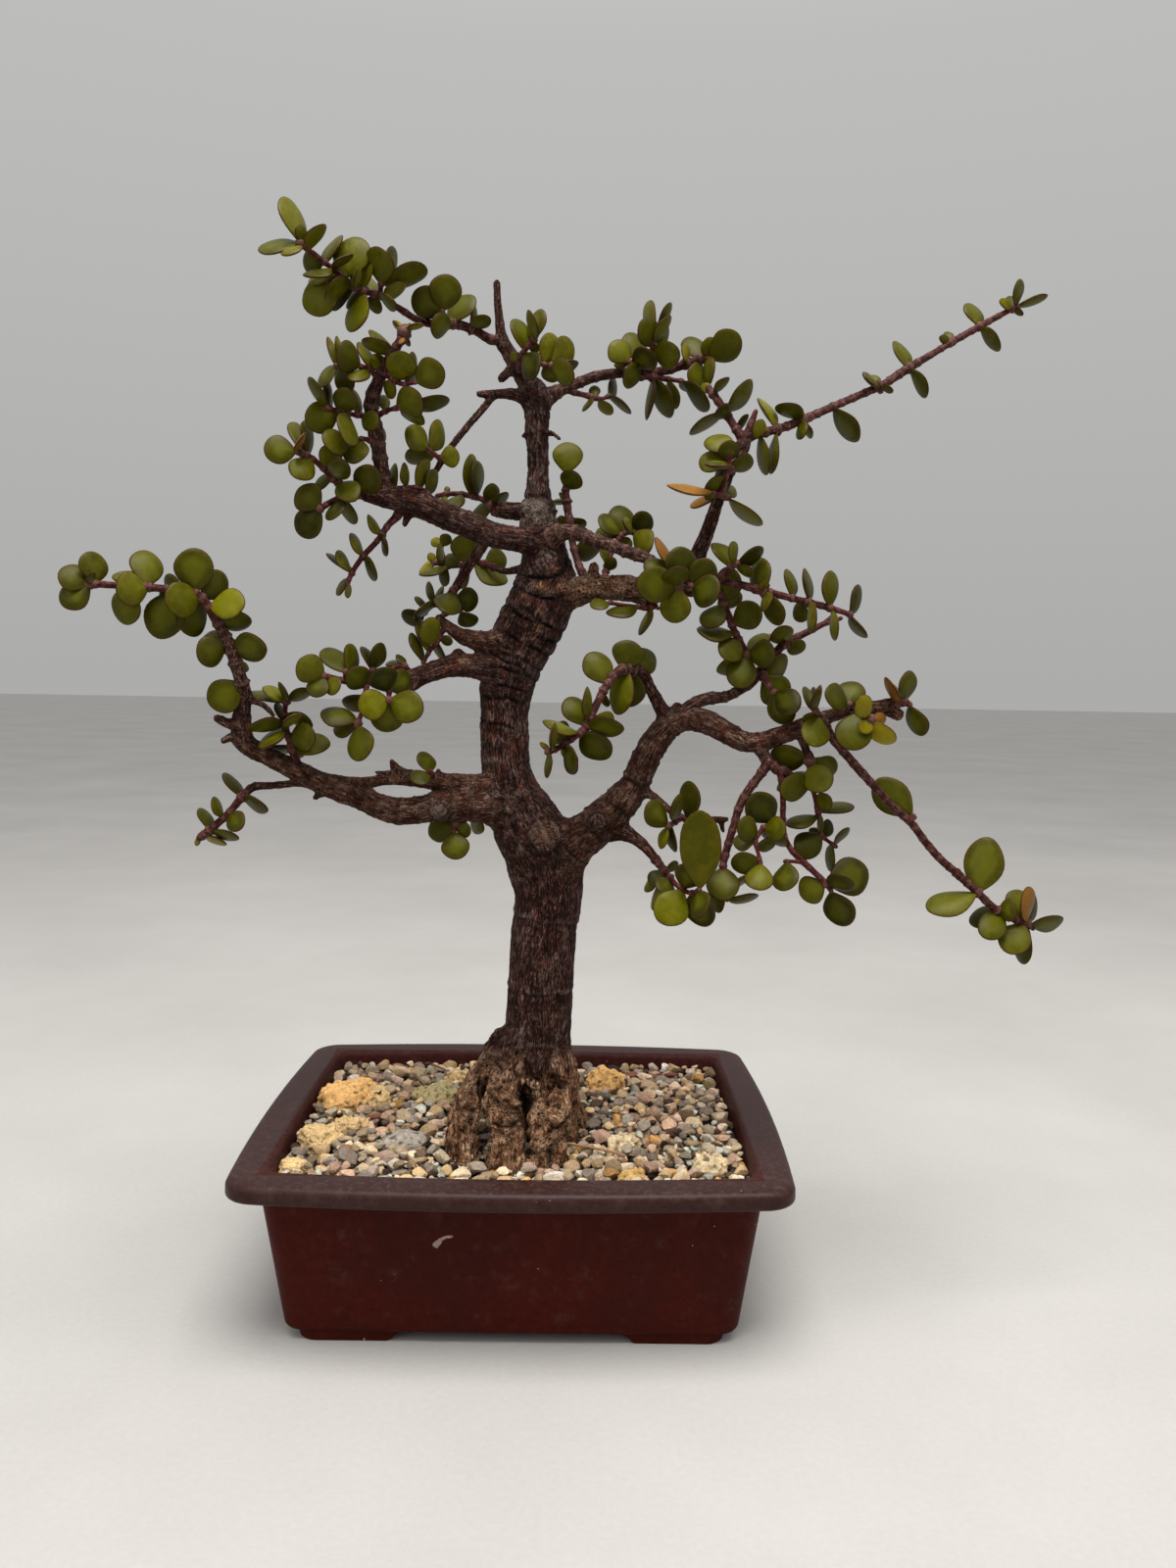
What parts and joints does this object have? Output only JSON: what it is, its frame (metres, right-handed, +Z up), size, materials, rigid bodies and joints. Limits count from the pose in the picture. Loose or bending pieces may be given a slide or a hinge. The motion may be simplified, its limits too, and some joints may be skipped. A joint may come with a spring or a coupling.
{
  "type": "dwarf jade bonsai in a pot",
  "caption": "Small-leaved succulent bonsai tree with a flared trunk and spreading leafy branches, in a low rectangular footed pot dressed with gravel and loose stones.",
  "frame": {"origin": "centre of the whole object's outline seen from above, on the surface the pot's feet stand on", "axes": "+Z up the tree, -Y the front of the pot and tree (the side the picture shows), +X to the viewer's right along the pot's long side"},
  "size_m": [0.3894, 0.1766, 0.4316],
  "materials": {
    "pot_clay": "satin dark red-brown, as moulded",
    "screen_plastic": "matte black mesh",
    "soil_mix": "rough, dark",
    "gravel_grains": "matte mixed grains",
    "loose_stone": "rough, porous",
    "bark": "rough ringed bark",
    "leaf_green": "satin waxy leaf"
  },
  "bodies": {
    "root": {"branch_apex_right": "leaf_green", "branch_drooping_right": "leaf_green", "branch_hanging": "leaf_green", "branch_secondary_right": "leaf_green", "branch_top_right": "leaf_green", "branch_upper_right": "leaf_green", "branch_upright_left": "leaf_green", "drain_screen_left": "screen_plastic", "drain_screen_right": "screen_plastic", "gravel": "gravel_grains", "pot": "pot_clay", "shoot_apex_front": "leaf_green", "shoot_arch": "leaf_green", "shoot_back_left": "leaf_green", "shoot_back_low": "leaf_green", "shoot_back_yellow": "leaf_green", "shoot_behind_right": "leaf_green", "shoot_behind_trunk": "leaf_green", "shoot_end_left": "leaf_green", "shoot_end_mid": "leaf_green", "shoot_end_tip": "leaf_green", "shoot_inner_left": "leaf_green", "shoot_left_droop": "leaf_green", "shoot_left_low": "leaf_green", "shoot_left_side": "leaf_green", "shoot_left_upper_row": "leaf_green", "shoot_leftmost": "leaf_green", "shoot_low_front": "leaf_green", "shoot_low_left_cluster": "leaf_green", "shoot_low_left_twig": "leaf_green", "shoot_mid_front": "leaf_green", "shoot_mid_left_front": "leaf_green", "shoot_mid_left_mid": "leaf_green", "shoot_mid_left_tip": "leaf_green", "shoot_mid_twig": "leaf_green", "shoot_near_trunk_left": "leaf_green", "shoot_right_mid": "leaf_green", "shoot_spur_hanging": "leaf_green", "shoot_top_left": "leaf_green", "shoot_top_right_cluster": "leaf_green", "shoot_under_branch": "leaf_green", "shoot_under_rough": "leaf_green", "soil": "soil_mix", "stone_01": "loose_stone", "stone_02": "loose_stone", "stone_03": "loose_stone", "stone_04": "loose_stone", "stone_05": "loose_stone", "stone_06": "loose_stone", "stone_07": "loose_stone", "stone_08": "loose_stone", "stone_09": "loose_stone", "stone_10": "loose_stone", "stone_11": "loose_stone", "stone_12": "loose_stone", "trunk_and_main_branches": "bark"}
  },
  "joints": []
}
